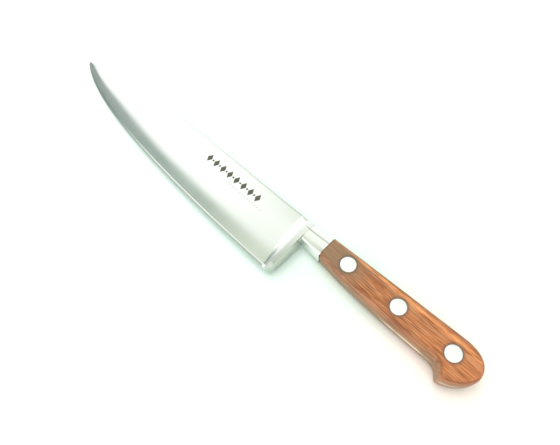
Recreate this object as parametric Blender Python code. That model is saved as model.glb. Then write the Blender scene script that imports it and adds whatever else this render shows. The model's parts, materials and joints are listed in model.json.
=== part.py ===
"""A forged chef knife with a full tang, two wooden scales and three two-part rivets.

The frame has +X from the tip to the butt, +Y from the cutting edge to the spine and +Z out of
the left side of the blade. The origin is under the middle of the knife, on the plane that the
right cheek of the handle rests on. Lengths are written in millimetres and scaled by MM.
"""

import bisect
import math

import bmesh
import bpy
from mathutils import Vector
from mathutils.geometry import interpolate_bezier

MM = 0.001

# Driving dimensions, in millimetres.
KNIFE_LENGTH = 331.4
KNIFE_HEIGHT = 43.7
HANDLE_THICKNESS = 17.0
TANG_THICKNESS = 2.6
FIT_GAP = 0.3

TIP_X = -KNIFE_LENGTH / 2
BUTT_X = KNIFE_LENGTH / 2
HEEL_Y = -KNIFE_HEIGHT / 2
CROWN_Y = KNIFE_HEIGHT / 2
MID_Z = HANDLE_THICKNESS / 2

# The blade, from the tip to the finger guard.
GUARD_BACK_X = 47.7
GUARD_LENGTH = 2.9
COVE_END_X = GUARD_BACK_X - GUARD_LENGTH
COVE_LENGTH = 7.6
COVE_LENGTH_AT_HEEL = 2.8
COVE_NARROWS_BELOW_Y = 2.0
HEEL_ROUND = 3.2
SPINE_HALF_AT_GUARD = 1.9
SPINE_HALF_AT_TIP = 0.5
EDGE_HALF = 0.06
BEVEL_HEIGHT = 1.2
BEVEL_HALF = 0.3
BEVEL_SHARE_AT_TIP = 0.3
FIRST_LEVEL_OVER_BEVEL = 1.2
FACE_FULLNESS = 0.85
SPINE_CHAMFER = 0.35
CHAMFER_SHARE_AT_TIP = 0.05
TIP_Y = 3.0
TIP_LENGTH = 0.25
TIP_SHRINK = 0.4
TIP_HALF_HEIGHT = 0.1
BLADE_END_X = 33.0
BLADE_STATIONS = 32
CROWDING_TO_TIP = 1.3
FACE_LEVELS = 5
COVE_STATIONS = 6
HEEL_STATIONS = 4
SPINE_SAMPLES = 24
EDGE_SAMPLES = 48

# The guard and the neck, as (height on Y, half of the thickness) from the top down.
GUARD_TOP = (17.6, 2.7)
GUARD_SHOULDER = (12.6, 5.9)
GUARD_HEEL = (-17.5, 5.1)
GUARD_FOOT = (HEEL_Y, 2.6)
NECK_SECTION = ((17.7, 2.8), (12.7, 6.0), (7.7, 6.0), (5.0, 4.6))
NECK_REAR_SECTION = ((17.8, 2.8), (13.2, 6.0), (9.2, 6.0), (3.4, 2.8))
NECK_START_X = 45.4
SCALE_FRONT_X = 63.0
NECK_END_X = SCALE_FRONT_X - FIT_GAP
TANG_ROOT_X = 59.0
TANG_ROOT_Y = (4.6, 17.4)

# The handle's outline as Bezier spans: four points, samples, and the rounding at each end.
HANDLE_SPANS = (
    (((63, 17.9), (94, 19.6), (123.5, 20.8), (150, CROWN_Y)), 14, 2.8, 4.2),
    (((150, CROWN_Y), (160, CROWN_Y), (BUTT_X, 17.0), (BUTT_X, 10)), 9, 4.2, 1.8),
    (((BUTT_X, 10), (BUTT_X, 3.5), (157, -3.5), (151, -4.0)), 8, 1.8, 1.2),
    (((151, -4.0), (148.4, -4.3), (148.5, 1.2), (141, 1.2)), 8, 1.2, 3.4),
    (((141, 1.2), (120, 1.0), (95, 0.0), (63, 3.8)), 14, 3.4, 2.6),
)
FRONT_OVERRUN = 6.0
OVERRUN_TAPER = 0.4
CHEEK_WALL = 1.0
CHEEK_STEPS = 6

# Rivets: a headed pin from the left, and a headed sleeve from the right that it grips.
FIRST_RIVET_X = 79.0
RIVET_PITCH = 34.7
RIVET_Y = 10.0
RIVET_NAMES = ("front_rivet", "middle_rivet", "rear_rivet")
HEAD_RADIUS = 4.6
HEAD_THICKNESS = 2.2
SLEEVE_RADIUS = 3.0
PIN_RADIUS = 1.7
SLEEVE_BORE_RADIUS = PIN_RADIUS + FIT_GAP
BORE_FLOOR = 0.8
DRILL_REACH = 1.0
ROUND_SEGMENTS = 40

STEEL = ("forged_steel", (0.80, 0.81, 0.80), 0.24, 1.0)
WOOD = ("oiled_wood", (0.52, 0.21, 0.09), 0.42, 0.0)
RIVET_METAL = ("rivet_metal", (0.88, 0.88, 0.87), 0.16, 1.0)


def clear_scene():
    for item in list(bpy.data.objects):
        bpy.data.objects.remove(item, do_unlink=True)


def make_material(finish):
    name, colour, roughness, metallic = finish
    material = bpy.data.materials.new(name)
    material.use_nodes = True
    shader = material.node_tree.nodes["Principled BSDF"]
    shader.inputs["Base Color"].default_value = (*colour, 1.0)
    shader.inputs["Roughness"].default_value = roughness
    shader.inputs["Metallic"].default_value = metallic
    material.diffuse_color = (*colour, 1.0)
    return material


def make_object(name, bm, material=None):
    """Turns a bmesh drawn in millimetres into an object; one without a material is a cutter."""
    bmesh.ops.scale(bm, vec=(MM, MM, MM), verts=bm.verts)
    bmesh.ops.recalc_face_normals(bm, faces=bm.faces)
    mesh = bpy.data.meshes.new(name)
    bm.to_mesh(mesh)
    bm.free()
    item = bpy.data.objects.new(name, mesh)
    bpy.context.collection.objects.link(item)
    if material:
        mesh.materials.append(material)
    else:
        item.hide_render = True
        item.display_type = "WIRE"
    return item


def shade_round(item):
    item.data.shade_smooth()
    item.data.set_sharp_from_angle(angle=math.radians(30))


def combine(item, other, operation):
    cut = item.modifiers.new(f"{operation.lower()}_{other.name}", "BOOLEAN")
    cut.operation = operation
    cut.solver = "EXACT"
    cut.object = other


def bezier(points, samples):
    flat = [Vector((*point, 0.0)) for point in points]
    return [(p.x, p.y) for p in interpolate_bezier(*flat, samples)]


def height_along(curve, x):
    """The Y of a curve, given as points in order of X, at one X."""
    xs = [point[0] for point in curve]
    if x <= xs[0]:
        return curve[0][1]
    if x >= xs[-1]:
        return curve[-1][1]
    after = bisect.bisect_right(xs, x)
    (x0, y0), (x1, y1) = curve[after - 1], curve[after]
    return y0 + (y1 - y0) * (x - x0) / (x1 - x0)


def mix(a, b, share):
    return a + (b - a) * share


def loft(name, sections, material=None):
    """Bridges rings of equal count, in order, and caps both ends."""
    bm = bmesh.new()
    rings = []
    for section in sections:
        verts = [bm.verts.new(point) for point in section]
        rings.append([bm.edges.new((verts[i - 1], verts[i])) for i in range(len(verts))])
    for ring, next_ring in zip(rings, rings[1:]):
        bmesh.ops.bridge_loops(bm, edges=ring + next_ring)
    bmesh.ops.contextual_create(bm, geom=rings[0])
    bmesh.ops.contextual_create(bm, geom=rings[-1])
    return make_object(name, bm, material)


def turned(name, profile, centre, material=None):
    """Spins a profile of (radius, height) points, both ends on the axis, around Z."""
    bm = bmesh.new()
    verts = [bm.verts.new((radius, 0.0, height)) for radius, height in profile]
    edges = [bm.edges.new(pair) for pair in zip(verts, verts[1:])]
    bmesh.ops.spin(
        bm, geom=verts + edges, cent=(0, 0, 0), axis=(0, 0, 1), angle=math.tau,
        steps=ROUND_SEGMENTS, use_merge=True,
    )
    bmesh.ops.remove_doubles(bm, verts=bm.verts, dist=0.001)
    bmesh.ops.translate(bm, vec=centre, verts=bm.verts)
    return make_object(name, bm, material)


# ---------------------------------------------------------------- the forging


def spine_curve():
    point = (TIP_X, TIP_Y + TIP_HALF_HEIGHT)
    rear = bezier(((48, 17.7), (0, 16.6), (-45, 17.4), (-90, 15.2)), SPINE_SAMPLES)
    front = bezier(((-90, 15.2), (-121, 13.7), (-146, 10.0), point), SPINE_SAMPLES)
    return sorted(set(rear + front))


def edge_curve():
    point = (TIP_X, TIP_Y - TIP_HALF_HEIGHT)
    return bezier((point, (-140, -15.5), (-64, -23.0), (34, HEEL_Y)), EDGE_SAMPLES)


def heel_curve():
    """The guard's rounded foot, from the end of the cove to the guard's back."""
    points = []
    for step in range(HEEL_STATIONS + 1):
        angle = step / HEEL_STATIONS * math.pi / 2
        x = GUARD_BACK_X - HEEL_ROUND * (1.0 - math.sin(angle))
        points.append((x, HEEL_Y + HEEL_ROUND * (1.0 - math.cos(angle))))
    return points


def blade_half(x, share, height):
    """Half of the blade's thickness at a share of the way from the edge up to the spine."""
    spine_half = mix(SPINE_HALF_AT_TIP, SPINE_HALF_AT_GUARD, (x - TIP_X) / (COVE_END_X - TIP_X))
    bevel_share = min(BEVEL_HEIGHT / height, BEVEL_SHARE_AT_TIP)
    if share <= bevel_share:
        return mix(EDGE_HALF, BEVEL_HALF, share / bevel_share)
    rise = (share - bevel_share) / (1.0 - bevel_share)
    return mix(BEVEL_HALF, spine_half, rise**FACE_FULLNESS)


def guard_half(y):
    """Half of the guard's thickness at a height on Y."""
    points = (GUARD_FOOT, GUARD_HEEL, GUARD_SHOULDER, GUARD_TOP)
    return height_along(points, y)


def cove_length(y):
    """How far the cove reaches forward from the guard; it narrows towards the heel."""
    share = (COVE_NARROWS_BELOW_Y - y) / (COVE_NARROWS_BELOW_Y - HEEL_Y)
    return mix(COVE_LENGTH, COVE_LENGTH_AT_HEEL, min(max(share, 0.0), 1.0))


def level_shares(height):
    """The levels of a ring, as shares of its height from the edge (0) to the spine (1)."""
    bevel = min(BEVEL_HEIGHT / height, BEVEL_SHARE_AT_TIP)
    chamfer = 1.0 - min(SPINE_CHAMFER / height, CHAMFER_SHARE_AT_TIP)
    heel = max((GUARD_HEEL[0] - HEEL_Y) / (GUARD_TOP[0] - HEEL_Y), bevel * FIRST_LEVEL_OVER_BEVEL)
    shoulder = (GUARD_SHOULDER[0] - HEEL_Y) / (GUARD_TOP[0] - HEEL_Y)
    face = [mix(heel, shoulder, step / FACE_LEVELS) for step in range(FACE_LEVELS + 1)]
    return [0.0, bevel, *face, mix(shoulder, chamfer, 0.5), chamfer, 1.0]


def forging_ring(x, top, bottom, rise, advance):
    """One ring. Rise runs from 0 on the blade to 1 on the guard; advance is the share of the
    cove's length still ahead of the ring, so a level's X follows the cove's length there."""
    height = top - bottom
    side = []
    for share in level_shares(height):
        y = bottom + height * share
        blade = blade_half(x, share, height)
        if share == 1.0:
            blade -= min(SPINE_CHAMFER, blade / 2)
        half = mix(blade, guard_half(y), rise)
        side.append((x - advance * cove_length(y), y, half))
    left = [(px, y, MID_Z + half) for px, y, half in side]
    right = [(px, y, MID_Z - half) for px, y, half in reversed(side)]
    return left + right


def make_blade(material):
    spine, edge, heel = spine_curve(), edge_curve(), heel_curve()
    rings = []
    first = TIP_X + TIP_LENGTH
    for step in range(BLADE_STATIONS):
        x = mix(first, BLADE_END_X, (step / (BLADE_STATIONS - 1)) ** CROWDING_TO_TIP)
        rings.append(forging_ring(x, height_along(spine, x), height_along(edge, x), 0.0, 0.0))
    for step in range(COVE_STATIONS + 1):
        angle = step / COVE_STATIONS * math.pi / 2
        rise = 1.0 - math.cos(angle)
        top = mix(height_along(spine, COVE_END_X), GUARD_TOP[0], rise)
        rings.append(forging_ring(COVE_END_X, top, HEEL_Y, rise, 1.0 - math.sin(angle)))
    for x, bottom in heel[1:]:
        rings.append(forging_ring(x, GUARD_TOP[0], bottom, 1.0, 0.0))
    tip = [(TIP_X, mix(TIP_Y, y, TIP_SHRINK), mix(MID_Z, z, TIP_SHRINK)) for _, y, z in rings[0]]
    return loft("blade_forging", [tip, *rings], material)


def make_neck():
    rings = []
    for x, section in ((NECK_START_X, NECK_SECTION), (NECK_END_X, NECK_REAR_SECTION)):
        left = [(x, y, MID_Z + half) for y, half in section]
        right = [(x, y, MID_Z - half) for y, half in reversed(section)]
        rings.append(left + right)
    return loft("neck_blank", rings)


def handle_outline():
    """The handle's outline as (x, y, rounding) points, from the front's top round to its foot."""
    points = []
    for curve, samples, round_start, round_end in HANDLE_SPANS:
        span = bezier(curve, samples)
        for step, (x, y) in enumerate(span[1:] if points else span):
            share = (step + (1 if points else 0)) / (samples - 1)
            points.append((x, y, mix(round_start, round_end, share)))
    return points


def make_tang():
    low, high = TANG_ROOT_Y
    outline = [(x, y) for x, y, _ in handle_outline()]
    outline = [(TANG_ROOT_X, low), (TANG_ROOT_X, high)] + outline
    half = TANG_THICKNESS / 2
    rings = [[(x, y, MID_Z + z) for x, y in outline] for z in (-half, half)]
    return loft("tang_blank", rings)


def make_forging(material):
    blade = make_blade(material)
    combine(blade, make_neck(), "UNION")
    combine(blade, make_tang(), "UNION")
    hole = SLEEVE_RADIUS + FIT_GAP
    low, high = -DRILL_REACH, HANDLE_THICKNESS + DRILL_REACH
    for name, x in rivet_places():
        profile = ((0, low), (hole, low), (hole, high), (0, high))
        combine(blade, turned(f"{name}_tang_drill", profile, (x, RIVET_Y, 0)), "DIFFERENCE")
    return blade


# ---------------------------------------------------------------- the handle


def rivet_places():
    return [(name, FIRST_RIVET_X + RIVET_PITCH * i) for i, name in enumerate(RIVET_NAMES)]


def cheek_rings(points):
    """Rings of the cheek's crown, as (x, y, height over the tang) points, from the tang up."""
    seat = TANG_THICKNESS / 2 + FIT_GAP
    crown = MID_Z - seat - CHEEK_WALL
    inward = []
    for i, (x, y, _) in enumerate(points):
        before, after = points[i - 1], points[(i + 1) % len(points)]
        along = Vector((after[0] - before[0], after[1] - before[1])).normalized()
        inward.append((along.y, -along.x))
    rings = [[(x, y, seat) for x, y, _ in points]]
    for step in range(CHEEK_STEPS + 1):
        angle = step / CHEEK_STEPS * math.pi / 2
        height = seat + CHEEK_WALL + crown * math.sin(angle)
        pull = 1.0 - math.cos(angle)
        ring = []
        for (x, y, rounding), (nx, ny) in zip(points, inward):
            ring.append((x + nx * rounding * pull, y + ny * rounding * pull, height))
        rings.append(ring)
    return rings


def make_scale(name, side, material):
    """A crowned wooden scale; side is 1 for the left one, on top, and -1 for the right one."""
    outline = handle_outline()
    front_top, front_foot = outline[0], outline[-1]
    over_top = (front_top[0] - FRONT_OVERRUN, front_top[1] - OVERRUN_TAPER, front_top[2])
    over_foot = (front_foot[0] - FRONT_OVERRUN, front_foot[1] + OVERRUN_TAPER, front_foot[2])
    rings = cheek_rings([over_top, *outline, over_foot])
    rings = [[(x, y, MID_Z + side * height) for x, y, height in ring] for ring in rings]
    scale = loft(name, rings, material)
    trim_front(scale)
    hole, recess = SLEEVE_RADIUS + FIT_GAP, HEAD_RADIUS + FIT_GAP
    floor = side * (MID_Z - HEAD_THICKNESS - FIT_GAP)
    reach = side * (MID_Z + DRILL_REACH)
    for rivet, x in rivet_places():
        profile = ((0, 0), (hole, 0), (hole, floor), (recess, floor), (recess, reach), (0, reach))
        cutter = turned(f"{rivet}_{name}_drill", profile, (x, RIVET_Y, MID_Z))
        combine(scale, cutter, "DIFFERENCE")
    return scale


def trim_front(scale):
    """Saws the scale off square where it meets the neck."""
    bm = bmesh.new()
    bm.from_mesh(scale.data)
    everything = bm.verts[:] + bm.edges[:] + bm.faces[:]
    cut = bmesh.ops.bisect_plane(
        bm, geom=everything, plane_co=(SCALE_FRONT_X * MM, 0, 0), plane_no=(-1, 0, 0),
        dist=0.00001, clear_outer=True,
    )
    rim = [item for item in cut["geom_cut"] if isinstance(item, bmesh.types.BMEdge)]
    bmesh.ops.contextual_create(bm, geom=rim)
    bmesh.ops.recalc_face_normals(bm, faces=bm.faces)
    bm.to_mesh(scale.data)
    bm.free()


def make_rivet(name, x, material):
    """A rivet's sleeve, headed on the right cheek, and its pin, headed on the left one."""
    left_seat = HANDLE_THICKNESS - HEAD_THICKNESS
    sleeve = (
        (0, 0), (HEAD_RADIUS, 0), (HEAD_RADIUS, HEAD_THICKNESS), (SLEEVE_RADIUS, HEAD_THICKNESS),
        (SLEEVE_RADIUS, left_seat - FIT_GAP), (SLEEVE_BORE_RADIUS, left_seat - FIT_GAP),
        (SLEEVE_BORE_RADIUS, HEAD_THICKNESS + BORE_FLOOR), (0, HEAD_THICKNESS + BORE_FLOOR),
    )
    pin_tip = HEAD_THICKNESS + BORE_FLOOR + 2 * FIT_GAP
    pin = (
        (0, pin_tip), (PIN_RADIUS - FIT_GAP, pin_tip), (PIN_RADIUS, pin_tip + FIT_GAP),
        (PIN_RADIUS, left_seat), (HEAD_RADIUS, left_seat), (HEAD_RADIUS, HANDLE_THICKNESS),
        (0, HANDLE_THICKNESS),
    )
    shade_round(turned(f"{name}_sleeve", sleeve, (x, RIVET_Y, 0), material))
    shade_round(turned(f"{name}_pin", pin, (x, RIVET_Y, 0), material))


def main():
    clear_scene()
    shade_round(make_forging(make_material(STEEL)))
    wood = make_material(WOOD)
    shade_round(make_scale("handle_scale_left", 1, wood))
    shade_round(make_scale("handle_scale_right", -1, wood))
    rivet_metal = make_material(RIVET_METAL)
    for name, x in rivet_places():
        make_rivet(name, x, rivet_metal)


main()
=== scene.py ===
# %% [markdown]
# # A forged chef knife in steel and wood
# The frame holds a plain, exact model of the knife: one steel forging, two wooden scales and
# three two-part rivets. Here each of those pieces gets a fine surface and a real finish. Nothing
# is moved or resized: every new piece is drawn round the places that the frame gives.
# The knife points along -X, its spine is on +Y, and its left side looks up along +Z.

# %% Load the frame
import bisect
import json
import math

import bmesh
import bpy
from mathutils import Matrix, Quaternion, Vector
from mathutils.geometry import interpolate_bezier


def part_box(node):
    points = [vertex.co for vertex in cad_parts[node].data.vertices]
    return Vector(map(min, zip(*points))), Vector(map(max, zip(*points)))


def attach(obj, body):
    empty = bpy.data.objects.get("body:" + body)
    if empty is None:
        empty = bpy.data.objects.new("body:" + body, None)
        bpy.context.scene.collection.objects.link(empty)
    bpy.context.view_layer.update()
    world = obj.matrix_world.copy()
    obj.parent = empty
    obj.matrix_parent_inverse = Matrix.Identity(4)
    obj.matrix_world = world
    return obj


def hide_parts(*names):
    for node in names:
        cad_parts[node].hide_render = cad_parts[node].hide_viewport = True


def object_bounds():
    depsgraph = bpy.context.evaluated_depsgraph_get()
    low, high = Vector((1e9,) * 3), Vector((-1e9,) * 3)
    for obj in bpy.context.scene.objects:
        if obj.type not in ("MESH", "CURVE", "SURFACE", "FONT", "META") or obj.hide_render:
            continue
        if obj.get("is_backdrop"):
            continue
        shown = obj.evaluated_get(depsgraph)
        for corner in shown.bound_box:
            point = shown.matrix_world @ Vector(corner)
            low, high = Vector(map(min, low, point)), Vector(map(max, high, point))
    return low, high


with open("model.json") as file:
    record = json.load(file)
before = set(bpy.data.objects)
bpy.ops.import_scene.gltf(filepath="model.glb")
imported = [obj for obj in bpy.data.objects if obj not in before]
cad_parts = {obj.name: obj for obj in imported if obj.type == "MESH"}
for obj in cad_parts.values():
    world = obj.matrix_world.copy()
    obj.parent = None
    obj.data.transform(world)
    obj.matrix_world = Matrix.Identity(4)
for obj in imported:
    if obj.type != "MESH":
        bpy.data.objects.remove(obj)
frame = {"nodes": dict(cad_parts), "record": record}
cad_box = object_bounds()
print("nodes:", ", ".join(sorted(frame["nodes"])))

# %% [markdown]
# ## Places and sizes
# The shapes below are drawn in millimetres, because a knife's details are tenths of a
# millimetre, and scaled to metres once each mesh is whole. The main places are read from the
# frame: the ends of the knife from its box, the guard's back from the mount that lies on it, the
# scales' front from the left scale and the rivets from their pins.

# %% Places from the frame
MM = 0.001
low, high = (corner / MM for corner in cad_box)
TIP_X, BUTT_X = low.x, high.x
CROWN_Y = high.y
HEEL_Y = -CROWN_Y
MID_Z = high.z / 2
mounts = {mount["name"]: mount for mount in frame["record"]["mounts"]}
GUARD_BACK_X = mounts["guard_back_stop"]["pos_m"][0] / MM
SCALE_FRONT_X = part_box("handle_scale_left")[0].x / MM
RIVETS = ("front_rivet", "middle_rivet", "rear_rivet")


def rivet_centre(name):
    """The axis of a rivet, as (x, y), and the radius of its heads."""
    corner, opposite = (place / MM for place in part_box(f"{name}_pin"))
    middle = (corner + opposite) / 2
    return (middle.x, middle.y), (opposite.x - corner.x) / 2


HEAD_RADIUS = rivet_centre("middle_rivet")[1]
print(f"tip {TIP_X:.1f}, guard {GUARD_BACK_X:.1f}, wood {SCALE_FRONT_X:.1f}, butt {BUTT_X:.1f} mm")
print(f"rivet heads: radius {HEAD_RADIUS:.2f} mm")

# %% [markdown]
# ## The camera
# The knife is seen from above and behind its handle, with a fairly wide lens close by. That is
# why the handle looks large against the blade. The camera is aimed at a point just in front of
# the guard and then rolled a little, as a hand-held camera is.

# %% Camera
camera_lens = bpy.data.cameras.new("camera")
camera_lens.lens = 31.0
camera_lens.sensor_width = 36.0
camera_lens.clip_start = 0.01
camera = bpy.data.objects.new("camera", camera_lens)
bpy.context.scene.collection.objects.link(camera)
bpy.context.scene.camera = camera
camera.location = (0.1305, -0.0755, 0.2668)
AIM = Vector((0.0301, 0.0052, 0.0085))
ROLL = math.radians(-7.3)
level_view = (AIM - camera.location).to_track_quat("-Z", "Y")
camera.rotation_euler = (level_view @ Quaternion((0, 0, 1), ROLL)).to_euler()
bpy.context.view_layer.update()
print("camera's right:", [round(value, 4) for value in camera.matrix_world.col[0][:3]])

# %% [markdown]
# ## The table
# The knife doesn't lie level. Its weight is ahead of the handle, so it tips about the front edge
# of the lower wooden scale until the point of the blade touches the table. The knife has to stay
# in its frame, so the table is tilted by that angle instead.

# %% Table
POINT_UNDERSIDE_Z = 8.0
TABLE_HALF_SIZE = 1.5
table_tilt = math.atan2(POINT_UNDERSIDE_Z, SCALE_FRONT_X - TIP_X)


def make_table():
    bm = bmesh.new()
    bmesh.ops.create_grid(bm, x_segments=1, y_segments=1, size=TABLE_HALF_SIZE)
    mesh = bpy.data.meshes.new("table_sheet")
    bm.to_mesh(mesh)
    bm.free()
    table = bpy.data.objects.new("table_sheet", mesh)
    bpy.context.scene.collection.objects.link(table)
    table.location.x = SCALE_FRONT_X * MM
    table.rotation_euler.y = table_tilt
    table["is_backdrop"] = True
    return table


table = make_table()
print(f"table tilted by {math.degrees(table_tilt):.2f} degrees")

# %% [markdown]
# ## Helpers for node materials
# Every finish is built from a few kinds of node. `node` adds one and fills its inputs: an input
# given as another node's output is linked, and any other value is set. `ramp` turns a number
# into a colour. Patterns read Object coordinates, which are metres in the knife's own frame, so
# a texture's scale is in features per metre.

# %% Node helpers
def new_finish(name, colour, roughness, metallic=0.0):
    """A material, its node tree and its Principled shader."""
    material = bpy.data.materials.new(name)
    material.use_nodes = True
    tree = material.node_tree
    shader = tree.nodes["Principled BSDF"]
    shader.inputs["Base Color"].default_value = (*colour, 1.0)
    shader.inputs["Roughness"].default_value = roughness
    shader.inputs["Metallic"].default_value = metallic
    return material, tree, shader


def node(tree, kind, inputs=None, **settings):
    made = tree.nodes.new(kind)
    for name, value in settings.items():
        setattr(made, name, value)
    for name, value in (inputs or {}).items():
        if isinstance(value, bpy.types.NodeSocket):
            tree.links.new(value, made.inputs[name])
        else:
            made.inputs[name].default_value = value
    return made


def placed(tree, scale, location=(0, 0, 0), rotation=(0, 0, 0)):
    """Object coordinates, moved, turned and stretched by a Mapping node."""
    coordinates = node(tree, "ShaderNodeTexCoord").outputs["Object"]
    inputs = {"Vector": coordinates, "Scale": scale, "Location": location, "Rotation": rotation}
    return node(tree, "ShaderNodeMapping", inputs).outputs["Vector"]


def object_axes(tree, location=(0, 0, 0)):
    """The object's own X, Y and Z, in metres, as three outputs."""
    return node(tree, "ShaderNodeSeparateXYZ", {0: placed(tree, (1, 1, 1), location)}).outputs


def noise(tree, vector, detail=3.0, roughness=0.5):
    inputs = {"Vector": vector, "Scale": 1.0, "Detail": detail, "Roughness": roughness}
    return node(tree, "ShaderNodeTexNoise", inputs).outputs["Fac"]


def ramp(tree, factor, *stops):
    """A colour ramp through (place, colour) stops."""
    made = node(tree, "ShaderNodeValToRGB", {"Fac": factor})
    elements = made.color_ramp.elements
    while len(elements) < len(stops):
        elements.new(0.5)
    for element, (place, colour) in zip(elements, stops):
        element.position = place
        element.color = (*colour, 1.0)
    return made.outputs["Color"]


def spread(tree, value, low_in, high_in, low_out, high_out):
    """Maps a range of numbers onto another, clamped at its ends."""
    inputs = {
        "Value": value, "From Min": low_in, "From Max": high_in, "To Min": low_out,
        "To Max": high_out,
    }
    return node(tree, "ShaderNodeMapRange", inputs).outputs["Result"]


def maths(tree, operation, first, second=0.0):
    return node(tree, "ShaderNodeMath", {0: first, 1: second}, operation=operation).outputs[0]


def product(tree, *masks):
    """Masks multiplied together: 1 only where each of them is 1."""
    total, *others = masks
    for mask in others:
        total = maths(tree, "MULTIPLY", total, mask)
    return total


def fade_in(tree, value, start, end):
    return spread(tree, value, start, end, 0.0, 1.0)


def fade_out(tree, value, start, end):
    return spread(tree, value, start, end, 1.0, 0.0)


def strip(tree, value, low, high):
    """1 between two soft edges, each given as (start, end), and 0 outside them."""
    return product(tree, fade_in(tree, value, *low), fade_out(tree, value, *high))


def blend(tree, factor, first, second):
    """Mixes two colours; a factor of 0 gives the first."""
    mixer = node(tree, "ShaderNodeMix", {0: factor}, data_type="RGBA")
    for socket, value in ((mixer.inputs[6], first), (mixer.inputs[7], second)):
        if isinstance(value, bpy.types.NodeSocket):
            tree.links.new(value, socket)
        else:
            socket.default_value = (*value, 1.0)
    return mixer.outputs[2]


def bump(tree, height, distance, strength=1.0, normal=None):
    inputs = {"Height": height, "Distance": distance, "Strength": strength}
    if normal:
        inputs["Normal"] = normal
    return node(tree, "ShaderNodeBump", inputs).outputs["Normal"]


def drive(tree, shader, colour, roughness, normal=None):
    """Links what the nodes have worked out to the shader's own sockets."""
    tree.links.new(colour, shader.inputs["Base Color"])
    tree.links.new(roughness, shader.inputs["Roughness"])
    if normal:
        tree.links.new(normal, shader.inputs["Normal"])


def tell_finish(material):
    print("finish:", material.name, len(material.node_tree.nodes), "nodes")


# %% [markdown]
# ## The table's finish
# A sheet of matt white card: pale, with a little unevenness in its sheen. Its tint is painted
# light: a trace greener under the blade, as the painted colour of the shade, and warmer under the
# wood, as painted light bounced off the wood. Both show only in the shadows.

# %% Table finish
# Painted light: a greener tint under the blade for the colour of the shade, and a warmer one under
# the wood for light bounced off it.
CARD_GREEN_SHADE_TINT, CARD_WARM_BOUNCE_TINT = (0.80, 0.92, 0.86), (0.99, 0.925, 0.87)
CARD_BOUNCE_TINT_X = (0.030, 0.072)


def make_table_finish():
    material, tree, shader = new_finish("matt_white_card", CARD_GREEN_SHADE_TINT, 0.7)
    # Painted bounce light: the card turns warmer under the wood.
    painted_bounce_tint = fade_in(tree, object_axes(tree)["X"], *CARD_BOUNCE_TINT_X)
    unevenness = noise(tree, placed(tree, (9, 9, 9)), detail=2.0)
    matt = spread(tree, unevenness, 0.3, 0.7, 0.62, 0.75)
    drive(tree, shader, blend(tree, painted_bounce_tint, CARD_GREEN_SHADE_TINT, CARD_WARM_BOUNCE_TINT), matt)
    shader.inputs["Specular IOR Level"].default_value = 0.2
    return material


table.data.materials.append(make_table_finish())
print("table finish:", table.data.materials[0].name)

# %% [markdown]
# ## Satin ground steel
# Under the spine at the heel the steel is painted darker: painted shade for a darker reflection
# there.
# The blade's faces are ground on a belt that runs from the spine to the edge, and then glazed.
# That leaves thousands of fine lines across the blade. They blur what the steel mirrors and
# give it a satin look. A noise stretched along Y makes the lines, for the roughness and for a
# bump of a few thousandths of a millimetre. A slower noise stands for the uneven pressure of
# the hand, and a thin, tilted one for scratches from use.
# The left side carries an etched band of lozenges and dots, with a fainter row of small studs
# under it. It is an ornament in the place where makers etch their marks. Acid leaves such a mark
# sunk, dark and matt.

# %% Etched ornament
BAND_START = Vector((-0.035, 0.0072))
BAND_LENGTH = 0.044
LOZENGE_PITCH = BAND_LENGTH / 7
LOZENGE_HALF = (0.0019, 0.0030)
DOT_RADIUS = 0.0006
STUD_PITCH, STUD_DROP, STUD_RADIUS, STUD_DEPTH = 0.0022, 0.0048, 0.00035, 0.4
STUD_ROW = (BAND_LENGTH / 2, BAND_LENGTH * 1.2)


def etched_band(tree):
    """1 inside the ornament and 0 outside: lozenges, dots between them, and a row of studs."""
    axes = object_axes(tree, (-BAND_START.x, -BAND_START.y, -MID_Z * MM))
    along, across, out = (axes[axis] for axis in "XYZ")
    to_lozenge = maths(tree, "PINGPONG", along, LOZENGE_PITCH / 2)
    to_dot = maths(tree, "SUBTRACT", LOZENGE_PITCH / 2, to_lozenge)
    height = maths(tree, "ABSOLUTE", across)
    reach = maths(
        tree, "ADD", maths(tree, "DIVIDE", to_lozenge, LOZENGE_HALF[0]),
        maths(tree, "DIVIDE", height, LOZENGE_HALF[1]),
    )
    lozenge = maths(tree, "LESS_THAN", reach, 1.0)
    dot_reach = maths(tree, "MAXIMUM", to_dot, height)
    mark = maths(tree, "MAXIMUM", lozenge, maths(tree, "LESS_THAN", dot_reach, DOT_RADIUS))
    band = product(
        tree, mark, maths(tree, "GREATER_THAN", along, -LOZENGE_HALF[0]),
        maths(tree, "LESS_THAN", along, BAND_LENGTH + LOZENGE_HALF[0]),
    )

    to_stud = maths(tree, "PINGPONG", along, STUD_PITCH / 2)
    under = maths(tree, "ABSOLUTE", maths(tree, "ADD", across, STUD_DROP))
    studs = maths(tree, "LESS_THAN", maths(tree, "MAXIMUM", to_stud, under), STUD_RADIUS)
    row = product(
        tree, studs, maths(tree, "GREATER_THAN", along, STUD_ROW[0]),
        maths(tree, "LESS_THAN", along, STUD_ROW[1]), STUD_DEPTH,
    )
    on_left_side = maths(tree, "GREATER_THAN", out, 0.0)
    return product(tree, maths(tree, "MAXIMUM", band, row), on_left_side)


print(f"ornament: {BAND_LENGTH / LOZENGE_PITCH + 1:.0f} lozenges over {BAND_LENGTH / MM:.0f} mm")

# %% Satin steel
STEEL_PALE = (0.84, 0.86, 0.84)
STEEL_DULL = (0.80, 0.82, 0.80)
ETCH_DARK = (0.17, 0.17, 0.13)
# Painted shade: the steel is coloured darker under the spine at the heel, for a darker reflection
# there.
HEEL_PAINTED_SHADE = (0.68, 0.72, 0.65)
HEEL_SHADE_X, HEEL_SHADE_Y = (-0.02, 0.04), (0.004, 0.017)


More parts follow.
